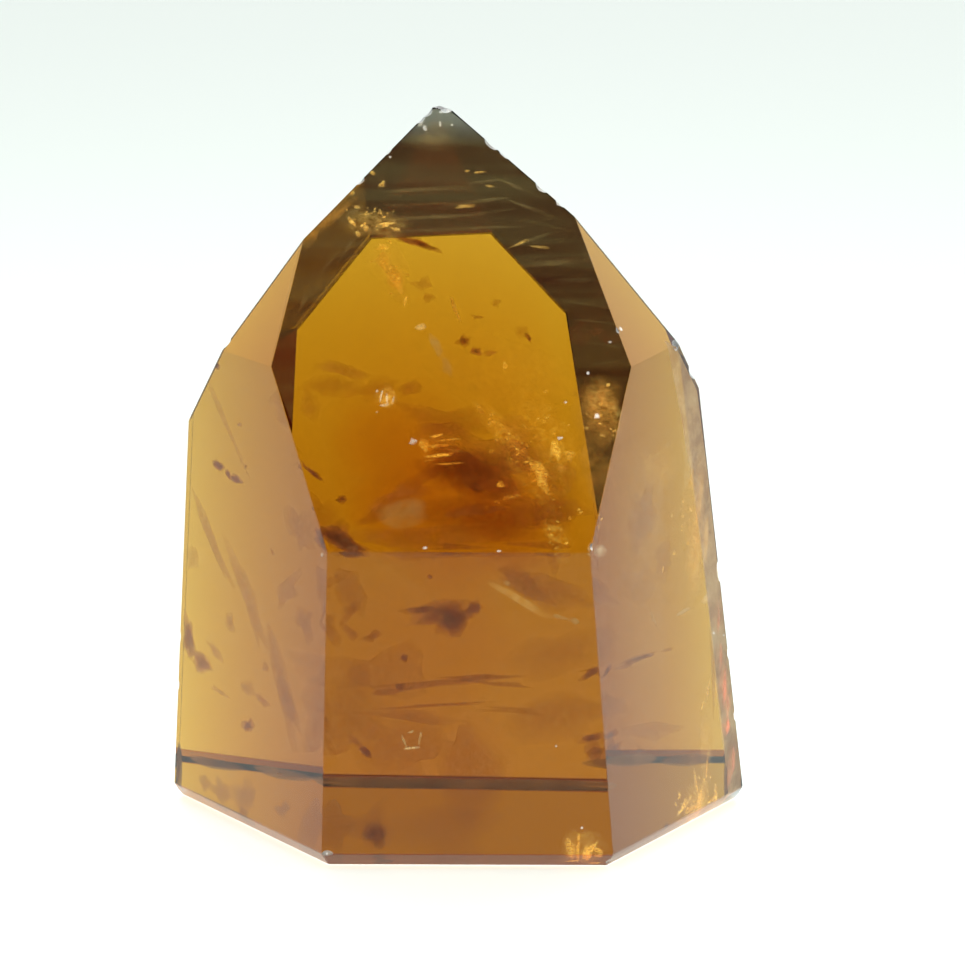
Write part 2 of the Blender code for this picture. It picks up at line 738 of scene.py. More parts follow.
@dataclass
class TipBandShade:
    """The dark banded layers that lie just under the natural faces at the back of the tip: growth bands,
    partly painted shade.
    """

    depth: float = 0.16 * MM
    lowest: float = 17.0 * MM
    looks_back: float = 0.3
    looks_up: float = 0.3
    block_size: float = 0.2
    finish: GrowthBandShade = GrowthBandShade()

    def shrunken_body(self) -> BMesh:
        """Cut a block by every face of the crystal, each moved in by the layers' depth.

        Returns:
            The smaller body, closed all round.
        """
        bm = bmesh.new()
        bmesh.ops.create_cube(bm, size=self.block_size)
        body = faceted_body()
        for face in body.faces:
            whole = bm.verts[:] + bm.edges[:] + bm.faces[:]
            inside = face.calc_center_median() - face.normal * self.depth
            wall = {"plane_co": inside, "plane_no": face.normal}
            cut = bmesh.ops.bisect_plane(bm, geom=whole, clear_outer=True, **wall)
            rim = [part for part in cut["geom_cut"] if isinstance(part, BMEdge)]
            if rim:
                bmesh.ops.edgeloop_fill(bm, edges=rim)
        body.free()
        return bm

    def build(self, _: Sight) -> Object:
        """Keep the shrunken body's faces at the back of the tip.

        Args:
            _: the way into the crystal, which isn't needed here.

        Returns:
            The layers.
        """
        bm = self.shrunken_body()
        whole = bm.verts[:] + bm.edges[:] + bm.faces[:]
        below = {"plane_co": (0.0, 0.0, self.lowest), "plane_no": (0.0, 0.0, -1.0)}
        bmesh.ops.bisect_plane(bm, geom=whole, clear_outer=True, **below)
        bm.normal_update()
        turned = ((face, face.normal) for face in bm.faces)
        clear = [face for face, way in turned if way.y <= self.looks_back or way.z <= self.looks_up]
        bmesh.ops.delete(bm, geom=clear, context="FACES")
        return carried_piece("growth_bands_and_painted_shade", bm, self.finish.material())


# ---- films and haze inside the stone


class Spot(NamedTuple):
    """One film inside the stone, given by where it shows in the front view.

    across, down: its middle, in picture pixels from the left and the top edge.
    wide, tall: its size in picture pixels.
    strength: how dense it is, up to 1.
    turn: how far it is turned in the picture, in degrees anticlockwise.
    depth: how far below the surface it lies, in millimetres.
    """

    across: float
    down: float
    wide: float
    tall: float
    strength: float
    turn: float
    depth: float


def placed(depth: float, *rows: tuple[float, ...]) -> tuple[Spot, ...]:
    """Place films, mostly unturned and at one depth.

    Args:
        depth: how deep they lie, in millimetres.
        rows: a Spot's numbers in their order, without the last ones where they are the usual ones.

    Returns:
        The films.
    """
    usual = {"turn": 0.0, "depth": depth}
    return tuple(Spot(**{**usual, **dict(zip(Spot._fields, row))}) for row in rows)


@dataclass(frozen=True)
class Scatter:
    """Small films scattered over a patch, thickest in its middle.

    The seed settles where they fall. The patch's middle, its half width and half height, and the
    films' widths are in picture pixels, its turn in degrees anticlockwise, the depths in millimetres.
    Widths, depths and strengths run from the least to the greatest.
    """

    seed: int
    count: int
    middle: Pair
    spread: Pair
    turn: float
    widths: Pair
    depths: Pair
    strengths: Pair
    gathered: float = 0.45
    shares: Pair = (0.35, 0.8)
    most_turn: float = 60.0

    def spots(self) -> list[Spot]:
        """Place the films.

        Returns:
            The films, in the order in which they are drawn.
        """
        draw = random.Random(self.seed)
        angle = math.radians(self.turn)
        spots = []
        for _ in range(self.count):
            along, aside = (draw.gauss(0.0, self.gathered) * reach for reach in self.spread)
            across = self.middle[0] + along * math.cos(angle) + aside * math.sin(angle)
            down = self.middle[1] - along * math.sin(angle) + aside * math.cos(angle)
            wide = draw.uniform(*self.widths)
            tall = wide * draw.uniform(*self.shares)
            turn = draw.uniform(-self.most_turn, self.most_turn)
            depth = draw.uniform(*self.depths)
            spots.append(Spot(across, down, wide, tall, draw.uniform(*self.strengths), turn, depth))
        return spots


@dataclass
class Films:
    """Films of one kind inside the stone, each a thin lens with a ragged rim."""

    name: str
    finish: Film
    spots: Sequence[Spot]
    ragged: float = 0.3
    slant: float = 0.7
    softness: float = 1.0
    thickness: float = 0.02 * MM
    least_depth: float = 0.04 * MM
    segments: int = 16
    rings: int = 8
    steepest: float = 0.6
    lean_step: float = 2.4
    lean_start: float = 0.7
    tip_step: float = 1.7
    rim_scale: float = 1.3
    rim_step: float = 7.3

    def every_spot(self) -> Sequence[Spot]:
        """List the films."""
        return self.spots

    def lens(self, sight: Sight, spot: Spot, number: int) -> Mesh | None:
        """Shape one film.

        Args:
            sight: the way into the crystal.
            spot: where it lies.
            number: its number in the set, which settles its rim and its slant.

        Returns:
            The film, or None where the spot falls outside the crystal.
        """
        entry = sight.enter(spot.across, spot.down)
        if entry is None:
            return None
        point, inward = entry
        middle = point + inward * spot.depth * MM
        right = (sight.right - inward * sight.right.dot(inward)).normalized()
        up = right.cross(inward)
        half_wide = 0.5 * spot.wide * sight.view.pixel()
        half_tall = 0.5 * spot.tall * sight.view.pixel()
        most_slant = min(self.slant, self.steepest * spot.depth * MM / max(half_wide, half_tall))
        lean = most_slant * math.sin(self.lean_step * number + self.lean_start)
        tip = most_slant * math.cos(self.tip_step * number)
        turn = math.radians(spot.turn)
        bm = bmesh.new()
        fade = bm.verts.layers.float.new(FADE)
        bmesh.ops.create_uvsphere(bm, u_segments=self.segments, v_segments=self.rings, radius=1.0)
        for vert in bm.verts:
            flat = vert.co.copy()
            seed = Vector((self.rim_scale * flat.x, self.rim_scale * flat.y, self.rim_step * number))
            stretch = 1.0 + self.ragged * 2.0 * noise.noise(seed)
            along = flat.x * half_wide * stretch
            aside = flat.y * half_tall * stretch
            x = along * math.cos(turn) - aside * math.sin(turn)
            y = along * math.sin(turn) + aside * math.cos(turn)
            inwards = x * lean + y * tip + flat.z * self.thickness
            vert.co = sight.kept_inside(middle + right * x + up * y + inward * inwards, self.least_depth)
            reach = min(flat.x * flat.x + flat.y * flat.y, 1.0)
            vert[fade] = spot.strength * (1.0 - reach) ** self.softness
        bmesh.ops.recalc_face_normals(bm, faces=bm.faces)
        mesh = bpy.data.meshes.new(self.name + "_one")
        bm.to_mesh(mesh)
        bm.free()
        return mesh

    def build(self, sight: Sight) -> Object:
        """Make the films as one piece.

        Args:
            sight: the way into the crystal.

        Returns:
            The films.
        """
        bm = bmesh.new()
        for number, spot in enumerate(self.every_spot()):
            lens = self.lens(sight, spot, number)
            if lens:
                bm.from_mesh(lens)
                bpy.data.meshes.remove(lens)
        return carried_piece(self.name, bm, self.finish.material())


@dataclass
class IronStains(Films):
    """Red-brown iron stains on healed cracks: in the window, then in the front, left and right faces."""

    name: str = "iron_stains"
    finish: Film = Film("iron_stain", "845434", "D0A47C", 0.45 * MM, broken=0.8, clear=0.88)
    ragged: float = 0.45
    softness: float = 0.8
    least_cored: float = 0.8
    core_size: float = 0.85
    core_drop: float = 0.15
    spots: Sequence[Spot] = (
        *placed(
            3.6,
            (408, 240, 40, 9, 0.95, -18, 4.0), (426, 246, 30, 8, 0.9, -20, 4.2),
            (464, 341, 13, 11, 0.8, 0, 3.2), (476, 351, 15, 8, 0.8, -20, 3.2),
            (490, 353, 12, 7, 0.6, 10, 3.3), (529, 338, 13, 5, 0.8, -62, 3.2),
            (522, 332, 14, 12, 0.35, 0, 3.3), (478, 317, 12, 4, 0.7, -5, 4.0),
            (421, 284, 22, 12, 0.4, 0, 3.5), (429, 297, 18, 12, 0.4, 0, 3.5), (496, 303, 9, 9, 0.4, 0, 3.4),
            (345, 370, 46, 16, 0.5, -12), (332, 385, 60, 22, 0.35, 8), (375, 388, 60, 22, 0.35, 20),
            (410, 388, 24, 14, 0.45, 30), (310, 405, 24, 30, 0.3), (455, 425, 90, 40, 0.4, -10, 3.9),
            (466, 470, 96, 54, 0.8, -12), (516, 452, 90, 60, 0.5, -40), (440, 436, 60, 30, 0.5, 0, 3.5),
            (554, 500, 44, 90, 0.5, -10), (334, 536, 46, 26, 0.8, -20, 1.3),
            (487, 462, 100, 60, 0.6, -30, 3.9), (500, 488, 60, 30, 0.6, -20, 3.5),
            (475, 487, 18, 9, 0.8, -20, 3.2), (341, 499, 11, 8, 0.8, 0, 3.0),
            (403, 492, 92, 20, 0.55, 26, 3.3), (375, 515, 40, 20, 0.45, 20, 3.3),
            (500, 520, 140, 50, 0.75, -4), (450, 538, 190, 26, 0.5, 0, 3.5),
            (470, 510, 60, 14, 0.5, 8, 3.2), (462, 547, 60, 8, 0.7, 0, 1.5),
            (540, 545, 70, 10, 0.5, 0, 2.0), (343, 541, 44, 15, 1.0, -32, 1.2),
            (352, 549, 30, 10, 0.9, -10, 1.2), (313, 473, 24, 5, 1.0, -36, 0.6),
            (300, 467, 12, 4, 0.7, -40, 0.6),
        ),
        *placed(
            3.0,
            (445, 614, 58, 30, 0.9, 6), (452, 622, 36, 26, 0.9, 0, 3.4), (423, 610, 40, 8, 0.8, 4),
            (474, 608, 18, 14, 0.9, 0, 3.2), (440, 683, 120, 9, 0.7, 5, 4.0),
            (480, 677, 80, 7, 0.75, 4, 4.0), (500, 684, 70, 5, 0.6, -5, 4.0),
            (392, 691, 50, 8, 0.6, 4, 4.5), (440, 705, 120, 4, 0.75, 3, 4.5),
            (410, 716, 100, 14, 0.4, -6, 3.2), (375, 834, 24, 26, 0.9, 0, 2.5),
            (372, 828, 46, 50, 0.4, 0, 3.5), (366, 752, 18, 9, 0.9, -35, 2.5),
            (356, 742, 24, 8, 0.5, -40, 2.5), (590, 674, 22, 8, 0.8, 35), (592, 738, 26, 9, 0.8, 15),
            (600, 750, 24, 10, 0.6, 20), (404, 658, 9, 8, 0.8), (400, 687, 8, 8, 0.8),
            (352, 633, 24, 9, 0.6, -40), (372, 637, 20, 10, 0.7, 20), (352, 610, 26, 14, 0.5, 40, 3.5),
            (430, 577, 6, 6, 0.8), (350, 590, 34, 50, 0.35, 10, 3.5), (395, 745, 120, 60, 0.35, -20, 3.7),
            (470, 770, 60, 120, 0.35, 15, 3.7), (440, 830, 120, 70, 0.35, 0, 3.7),
            (350, 715, 70, 110, 0.35, -20, 3.7), (335, 825, 40, 60, 0.4, 0, 3.5),
            (553, 592, 90, 34, 0.5, -18, 3.3), (520, 580, 60, 26, 0.5, -25, 3.3),
            (560, 650, 90, 50, 0.3, 0, 3.6), (550, 715, 110, 50, 0.35, 0, 3.6),
            (380, 672, 110, 50, 0.3, 0, 3.6), (382, 861, 26, 8, 0.9, 0, 0.8),
            (511, 710, 70, 8, 0.4, -4, 3.2),
        ),
        *placed(
            3.0,
            (219, 466, 23, 9, 1.0, -14), (228, 474, 12, 7, 1.0, -40), (236, 479, 22, 9, 1.0, -14),
            (246, 466, 5, 4, 0.7), (217, 366, 9, 8, 0.9, 30, 1.0), (240, 425, 8, 5, 0.6),
            (226, 425, 96, 9, 0.3, -57), (212, 540, 116, 15, 0.5, -55), (248, 600, 130, 20, 0.45, -62),
            (275, 662, 130, 24, 0.45, -66, 4.0), (288, 705, 70, 26, 0.4, -75, 4.0),
            (189, 640, 22, 50, 0.8, 0, 2.0), (203, 664, 36, 22, 0.85, -20, 2.0),
            (214, 650, 30, 12, 0.5, -30, 2.5), (230, 622, 14, 22, 0.5, 30), (222, 693, 30, 6, 0.5, -18),
            (262, 700, 26, 9, 0.6, -25), (247, 688, 26, 14, 0.4, -20), (266, 666, 10, 10, 0.5),
            (248, 725, 17, 16, 0.95, 0, 2.0), (220, 790, 40, 24, 0.55, -20, 2.0), (245, 796, 50, 40, 0.5),
            (243, 812, 20, 12, 0.6, 0, 1.5), (283, 809, 26, 14, 0.65, 5, 2.0),
            (205, 783, 20, 22, 0.5, 0, 2.0), (305, 620, 30, 34, 0.45), (300, 530, 40, 60, 0.35, 20, 3.2),
            (288, 590, 50, 26, 0.4, 35, 3.2), (193, 560, 20, 30, 0.3, -50), (272, 552, 6, 6, 0.5),
        ),
        *placed(
            3.0,
            (641, 520, 50, 74, 0.5, -15, 2.0), (662, 560, 34, 50, 0.25, -10, 4.0),
            (640, 580, 60, 40, 0.15, 0, 3.3), (640, 658, 66, 6, 0.8, 9), (625, 666, 34, 6, 0.6, 5),
            (668, 650, 26, 5, 0.4, 4), (620, 757, 28, 14, 0.6, -40, 2.5), (640, 750, 16, 8, 0.4, 0, 2.5),
            (655, 730, 90, 16, 0.35, 0, 4.0), (612, 747, 16, 30, 0.5, 20, 2.5),
            (714, 660, 14, 90, 0.45, 4, 1.2), (665, 829, 10, 4, 0.9, 10, 0.5),
        ),
    )

    def core(self, spot: Spot) -> Spot:
        """Place a smaller and deeper film behind a strong one, which darkens its middle."""
        size = {"wide": self.core_size * spot.wide, "tall": self.core_size * spot.tall}
        return spot._replace(depth=spot.depth + self.core_drop, **size)

    def every_spot(self) -> Sequence[Spot]:
        """List the films, then the cores of the strong ones."""
        strong = (spot for spot in self.spots if spot.strength >= self.least_cored)
        return [*self.spots, *(self.core(spot) for spot in strong)]


@dataclass
class GoldenFractures(Films):
    """Thin gold fractures that shine with a painted glint, light of their own: in the tip, window, right
    face and base.
    """

    name: str = "golden_fractures"
    # Painted glint: the fractures give off gold light of their own.
    finish: Film = Film(
        "golden_fracture", "D89C34", "FFE484", 0.25 * MM, flatness=3.0, strength=0.8, broken=0.9, painted_glow=0.2
    )
    ragged: float = 0.5
    slant: float = 0.5
    softness: float = 0.7
    segments: int = 10
    rings: int = 4
    spots: Sequence[Spot] = (
        *placed(
            0.10,
            (371, 172, 13, 4, 0.9, -40), (382, 184, 8, 8, 0.9, 70), (352, 193, 6, 5, 0.8),
            (357, 207, 9, 4, 0.7, -10), (352, 222, 11, 5, 1.0, -50), (366, 227, 9, 6, 1.0, 60),
            (358, 234, 8, 5, 0.8, -60), (387, 224, 16, 6, 0.9, 10), (395, 229, 12, 4, 0.8, -20),
            (480, 172, 18, 3, 0.9, 4), (467, 171, 5, 3, 0.9), (466, 206, 18, 5, 0.6, 8),
            (490, 186, 10, 3, 0.5), (520, 243, 26, 3, 0.6, 28), (540, 247, 20, 3, 0.4, -4),
        ),
        *placed(
            3.0,
            (383, 247, 16, 8, 0.7, 10, 5.0), (384, 262, 14, 24, 0.6, 20, 5.0),
            (392, 276, 16, 30, 0.6, 25, 5.0), (398, 287, 10, 18, 0.5, 20, 5.0),
            (405, 302, 4, 14, 1.0, -10, 4.0), (454, 307, 4, 26, 1.0, 16, 4.0),
            (459, 318, 3, 12, 0.7, 20, 4.0), (436, 436, 18, 3, 0.7, 10), (448, 440, 24, 3, 0.9, 4),
            (437, 446, 32, 3.5, 0.9, 7), (452, 450, 20, 2.5, 0.8, -3), (440, 455, 36, 4, 0.9, 5),
            (430, 460, 14, 2.5, 0.6, 12), (449, 464, 28, 3, 0.8, 2), (425, 445, 10, 16, 0.6, 30),
            (500, 484, 9, 8, 0.7), (511, 497, 22, 6, 0.9, 14), (497, 502, 8, 5, 0.7),
            (505, 365, 6, 10, 0.6, 10, 4.0), (543, 480, 12, 26, 0.9, 15), (535, 466, 22, 12, 0.7, -45),
            (570, 455, 14, 12, 0.8), (556, 450, 10, 22, 0.7, 10), (562, 468, 12, 8, 0.6),
        ),
        *placed(
            1.5,
            (663, 570, 3, 9, 1.0, -15, 2.0), (700, 500, 10, 50, 0.7, -10, 2.0),
            (706, 540, 9, 60, 0.8, -4, 1.6), (692, 478, 14, 22, 0.5, -20, 2.0), (708, 690, 6, 26, 0.9, -12),
            (703, 705, 4, 16, 0.8, -25), (716, 690, 4, 22, 0.7, 5, 1.2), (707, 765, 5, 34, 0.8, -8),
            (696, 782, 6, 30, 0.8, 14), (684, 806, 26, 9, 0.9, 40), (690, 818, 40, 9, 0.9, 20),
            (700, 800, 12, 34, 0.8, -20), (706, 812, 34, 6, 0.9, 28), (716, 798, 8, 30, 0.7, 10),
        ),
        *placed(
            1.0,
            (571, 848, 9, 24, 1.0, 6), (578, 846, 5, 26, 0.9, -4), (586, 852, 6, 18, 1.0, -25),
            (592, 850, 5, 22, 1.0, -30), (597, 855, 12, 8, 0.9, -40), (574, 861, 16, 3, 0.9, 0, 0.4),
            (596, 863, 14, 3, 1.0, 0, 0.4),
        ),
    )
    grains: Sequence[Scatter] = (
        Scatter(11, 46, (522, 455), (80, 14), -52, (2, 6), (2.0, 5.0), (0.5, 1.0)),
        Scatter(12, 24, (545, 430), (42, 34), -52, (2, 5), (2.0, 5.0), (0.3, 0.8)),
        Scatter(13, 22, (602, 412), (20, 34), 0, (2, 6), (0.08, 0.11), (0.3, 0.8)),
        Scatter(14, 26, (372, 218), (26, 18), 0, (2, 5), (0.08, 0.11), (0.4, 1.0)),
        Scatter(15, 18, (390, 268), (16, 28), 20, (2, 6), (4.0, 6.0), (0.3, 0.8)),
        Scatter(16, 50, (694, 520), (20, 60), 0, (2, 6), (1.0, 2.5), (0.3, 0.8)),
        Scatter(17, 30, (697, 800), (22, 26), 0, (2, 8), (0.8, 1.6), (0.4, 1.0)),
        Scatter(18, 14, (555, 535), (24, 12), -55, (2, 5), (1.5, 3.0), (0.3, 0.8)),
    )

    def every_spot(self) -> Sequence[Spot]:
        """List the fractures, then the grains."""
        return [*self.spots, *(spot for patch in self.grains for spot in patch.spots())]


@dataclass
class GoldenVeils(Films):
    """Clouds of fine gold flecks along healed fractures, which give off a little light of their own: a
    painted glint.
    """

    name: str = "golden_veils"
    # Painted glint: the flecks give off gold light of their own.
    finish: Film = Film(
        "golden_veil", "D89428", "FFDC78", 0.4 * MM, flatness=1.6, strength=0.3, broken=1.0, painted_glow=0.12,
        sparse=0.06,
    )
    slant: float = 0.4
    spots: Sequence[Spot] = placed(
        5.0,
        (500, 428, 80, 22, 0.7, -45, 4.0), (520, 455, 110, 26, 1.0, -52, 4.0),
        (540, 500, 90, 22, 0.9, -55, 3.5), (556, 535, 50, 20, 0.8, -55, 3.0), (545, 430, 90, 50, 0.6, -52),
        (560, 470, 44, 60, 0.8, 10, 3.0), (470, 380, 120, 40, 0.35, -35, 6.0),
        (520, 370, 110, 70, 0.3, -20, 6.0), (388, 262, 40, 66, 0.5, 20), (440, 450, 50, 44, 0.6, 0, 3.4),
        (398, 285, 22, 44, 0.7, 20), (378, 224, 60, 34, 0.8, 0, 0.11), (604, 412, 44, 70, 0.8, 0, 0.11),
        (694, 520, 46, 150, 0.9, -6, 2.0), (699, 505, 22, 110, 1.0, -5, 0.8),
        (694, 560, 30, 70, 0.9, 0, 0.9), (660, 470, 60, 50, 0.5, 0, 1.5), (700, 560, 26, 90, 0.7, 0, 1.5),
        (705, 760, 26, 90, 0.8, 0, 1.5), (697, 805, 50, 50, 1.0, 0, 1.2), (582, 846, 46, 36, 0.9, 0, 0.8),
        (386, 398, 26, 24, 1.0, 0, 0.8), (386, 398, 22, 20, 0.8, 0, 0.7),
    )


@dataclass
class MilkyVeils(Films):
    """Milky veils: very fine bubbles, pale where they scatter light, with a faint painted glint of light of
    their own.
    """

    name: str = "milky_veils"
    # Faint painted glint: the veils give off a little light of their own.
    finish: Film = Film("milky_veil", "D8BC98", "F0E4CC", 0.5 * MM, strength=0.6, painted_glow=0.04)
    ragged: float = 0.2
    spots: Sequence[Spot] = placed(
        2.0,
        (421, 327, 13, 7, 0.6, 10, 3.0), (436, 345, 10, 34, 0.5, 22, 3.0), (447, 366, 10, 22, 0.4, 20, 3.0),
        (600, 551, 26, 13, 0.4, 5, 0.8), (708, 597, 24, 11, 0.6, 25, 1.5), (684, 611, 34, 5, 0.5, 15, 1.5),
        (640, 600, 110, 300, 0.08, 2), (640, 500, 90, 160, 0.08, 10), (690, 430, 26, 120, 0.35, -6, 1.5),
        (560, 617, 22, 5, 0.5, -15), (575, 621, 10, 7, 0.5, -30), (520, 600, 70, 10, 0.35, -30, 5.0),
        (507, 583, 10, 6, 0.5, 0, 3.0), (404, 741, 3, 15, 0.9, 20), (420, 738, 3, 15, 0.9, -12),
        (412, 748, 20, 3, 0.9, 6), (411, 732, 8, 2.5, 0.8, 20), (653, 618, 5, 20, 0.4, 40),
    )


@dataclass
class PaintedAmberLight(Films):
    """Wide faint amber films in the lower half of the stone: painted warm light, for amber light that comes
    through the stone onto the floor behind it.
    """

    name: str = "painted_amber_lights"
    # Painted light: clear amber films that turn the gold to amber.
    finish: Film = Film("painted_amber_light", "F0D0A0", "FAE4B8", 4.0 * MM, broken=0.2, clear=1.0)
    ragged: float = 0.15
    slant: float = 0.3
    spots: Sequence[Spot] = placed(
        3.2,
        (440, 390, 284, 340, 0.45, 0, 0.3), (410, 470, 160, 170, 0.8, 0, 3.4),
        (455, 510, 190, 130, 1.0, -10, 3.6), (515, 515, 130, 110, 0.9, -10, 3.3),
        (400, 430, 140, 120, 0.5, 0, 3.8), (440, 640, 200, 160, 0.4), (430, 760, 180, 140, 0.4),
    )


@dataclass
class OliveLines(Films):
    """Pale olive growth lines in the tip, under its haze."""

    name: str = "olive_growth_lines"
    finish: Film = Film("olive_growth_line", "94844C", "C8B478", 1.2 * MM, broken=0.7, strength=0.2)
    ragged: float = 0.15
    slant: float = 0.05
    spots: Sequence[Spot] = placed(
        0.11,
        (430, 189, 110, 5, 0.8, 4), (480, 182, 70, 4, 0.6, 8), (520, 188, 60, 4, 0.6, -24),
        (420, 204, 90, 4, 0.6, 2), (475, 202, 70, 5, 0.9, 9), (430, 217, 130, 5, 0.7, 3),
        (490, 212, 60, 4, 0.5, 8), (455, 229, 140, 5, 0.6, 3), (535, 210, 70, 5, 0.6, -22),
        (545, 225, 70, 4, 0.5, -14), (530, 240, 60, 5, 0.6, 20), (560, 262, 80, 8, 0.6, 6),
        (580, 280, 60, 6, 0.5, 2), (590, 305, 60, 3, 0.5, -8), (600, 322, 60, 3, 0.5, -6),
        (605, 345, 50, 3, 0.5, -8), (610, 362, 46, 3, 0.5, 10), (350, 215, 40, 7, 0.5, 45),
        (330, 262, 50, 4, 0.5, 55), (322, 275, 40, 3, 0.5, 70), (345, 252, 40, 4, 0.5, 60),
        (305, 300, 30, 5, 0.5, 60), (402, 514, 58, 32, 0.9, 6, 0.3), (436, 132, 50, 30, 0.6, 0, 0.10),
        (432, 142, 70, 20, 0.5, 0, 0.10),
    )


@dataclass
class GoldenHaze(Films):
    """Clouds of gold-brown grains by the right edge of the window and at the left of the tip."""

    name: str = "golden_haze"
    finish: Film = Film("golden_haze", "A87828", "D8A048", 0.6 * MM, broken=0.7, strength=0.32)
    slant: float = 0.1
    spots: Sequence[Spot] = placed(
        0.11,
        (598, 420, 52, 74, 0.9, -10), (596, 470, 30, 70, 0.7, 6), (600, 395, 44, 36, 0.6, -20),
        (324, 224, 60, 12, 0.9, 41), (338, 212, 50, 12, 0.7, 42), (311, 236, 30, 14, 0.7, 50),
    )


@dataclass
class FootShade(Films):
    """Painted brown shade along the foot: films that stand in for the shade seen through the foot's edge."""

    name: str = "foot_shade"
    # Painted shade: brown films along the foot, where the edge shows dark.
    finish: Film = Film("painted_shade_at_foot", "70441C", "98642C", 3.0 * MM, broken=0.1, strength=0.7)
    ragged: float = 0.0
    slant: float = 0.0
    softness: float = 0.5
    spots: Sequence[Spot] = placed(
        0.11,
        (400, 783, 240, 12, 1.0, -1), (530, 785, 240, 12, 1.0, -1), (212, 763.5, 116, 11, 1.0, -2),
        (278, 773.5, 120, 11, 1.0, -2), (635, 760, 120, 13, 1.0), (690, 760, 110, 13, 1.0),
        (179, 768, 12, 56, 1.0, -4), (726, 780, 8, 56, 1.0, 2),
    )


@dataclass
class Bruises(Films):
    """Tiny knocks and crushed points on and just under the surface, pale, with painted glints: they give off
    white light of their own.
    """

    name: str = "bruises"
    # Painted glints: the knocks give off white light of their own.
    finish: Film = Film("crushed_quartz_painted_glint", "D8D0C0", "FFFFFF", 0.3 * MM, strength=0.85, painted_glow=0.25)
    ragged: float = 0.4
    slant: float = 0.0
    thickness: float = 0.03 * MM
    segments: int = 8
    rings: int = 4
    spots: Sequence[Spot] = placed(
        0.05,
        (621, 329, 6, 5, 1.0), (560, 438, 6, 5, 1.0, 20), (597, 416, 6, 5, 1.0, 40), (588, 373, 4, 4, 0.8),
        (610, 342, 4, 3, 0.6), (566, 402, 4, 3, 0.6), (425, 548, 6, 3, 0.6, 10), (499, 551, 5, 3, 0.8),
        (592, 549, 4, 4, 0.7), (327, 854, 3, 4, 0.9), (714, 633, 4, 3, 0.9), (724, 635, 3, 4, 0.8),
        (541, 188, 8, 4, 0.9, -40), (558, 204, 5, 4, 0.8, -40), (449, 110, 6, 5, 0.9, 20),
        (441, 112, 6, 4, 0.6), (421, 124, 8, 4, 0.6, 40), (425, 128, 5, 8, 0.6, 10), (440, 124, 3, 7, 0.8),
        (452, 125, 3, 3, 0.8), (390, 157, 3, 3, 0.8), (413, 442, 10, 7, 0.5, 20, 0.3),
        (381, 396, 3, 13, 0.6, -10, 0.6), (387, 398, 3, 15, 0.55, 6, 0.6),
        (393, 400, 2.5, 10, 0.5, -15, 0.6), (384, 405, 10, 3, 0.4, 10, 0.6), (377, 391, 4, 3, 0.5, 30, 0.6),
        (377, 412, 3, 3, 0.5, 0, 2.0), (322, 555, 5, 5, 0.4), (582, 828, 3, 3, 0.8), (556, 746, 3, 3, 0.5),
    )


@dataclass
class PaintedRedReflections(Films):
    """Painted red reflections by the right edge: orange-red films, with a little light of their own, where
    the edge flashes orange-red.
    """

    name: str = "painted_red_reflections"
    # Painted reflection: orange-red films stand in for light reflected inside the right edge.
    finish: Film = Film("painted_red_reflection_film", "E08854", "F8A87C", 0.9 * MM, broken=0.4, strength=0.4, painted_glow=0.03)
    ragged: float = 0.15
    slant: float = 0.0
    spots: Sequence[Spot] = placed(
        0.08,
        (718, 618, 16, 40, 0.4, 6), (720, 655, 18, 40, 0.5, 6), (724, 684, 21, 44, 0.9, 4),
        (724, 685, 16, 30, 0.9, 4, 0.07), (727, 704, 21, 30, 0.5, 4), (727, 725, 23, 22, 1.0),
        (727, 726, 16, 14, 0.8, 0, 0.07), (733, 758, 13, 34, 0.9, 6), (728, 775, 23, 34, 0.4),
    )


@dataclass
class HazeSheet:
    """A sheet of haze close under the front of the crystal, spanned between two outlines.

    Both outlines are in picture pixels and run the same way, point against point.
    """

    name: str
    finish: OliveHaze | Film
    inner: Sequence[Pair]
    outer: Sequence[Pair]
    depth: float = 0.12 * MM
    overlap: float = 0.15 * MM
    least_depth: float = 0.04 * MM
    cuts: int = 3

    def places(self, sight: Sight, points: Sequence[Pair]) -> list[Vector]:
        """Find the places under the surface that some points of the picture show."""
        entries = [sight.enter(across, down) for across, down in points]
        return [point + inward * self.depth for point, inward in entries]

    def build(self, sight: Sight) -> Object:
        """Span the two outlines and lay the sheet under the surface.

        Args:
            sight: the way into the crystal.

        Returns:
            The sheet.
        """
        bm = bmesh.new()
        fade = bm.verts.layers.float.new(FADE)
        inner = self.places(sight, self.inner)
        outer = [
            place + (place - across).normalized() * self.overlap
            for place, across in zip(self.places(sight, self.outer), inner)
        ]
        for places in (inner, outer):
            rim = [bm.verts.new(place) for place in places]
            for pair in zip(rim, rim[1:]):
                bm.edges.new(pair)
        bmesh.ops.bridge_loops(bm, edges=bm.edges)
        bmesh.ops.subdivide_edges(bm, edges=bm.edges, cuts=self.cuts, use_grid_fill=True)
        for vert in bm.verts:
            vert[fade] = 1.0
            vert.co = sight.kept_inside(vert.co, self.least_depth)
        bmesh.ops.recalc_face_normals(bm, faces=bm.faces)
        return carried_piece(self.name, bm, self.finish.material())


@dataclass
class TipHaze(HazeSheet):
    """The hazy growth layers close under the front of the tip, all round the clear window."""

    name: str = "tip_haze"
    finish: OliveHaze | Film = OliveHaze()
    inner: Sequence[Pair] = (
        (292, 424), (296, 352), (298, 328), (334, 283), (371, 238), (432, 235),
        (491, 232), (528, 272), (567, 313), (576, 378), (588, 453), (598, 546),
    )
    outer: Sequence[Pair] = (
        (290, 418), (272, 366), (285, 305), (301, 245), (345, 197), (434, 111),
        (452, 114), (521, 172), (577, 221), (628, 366), (612, 455), (594, 547),
    )


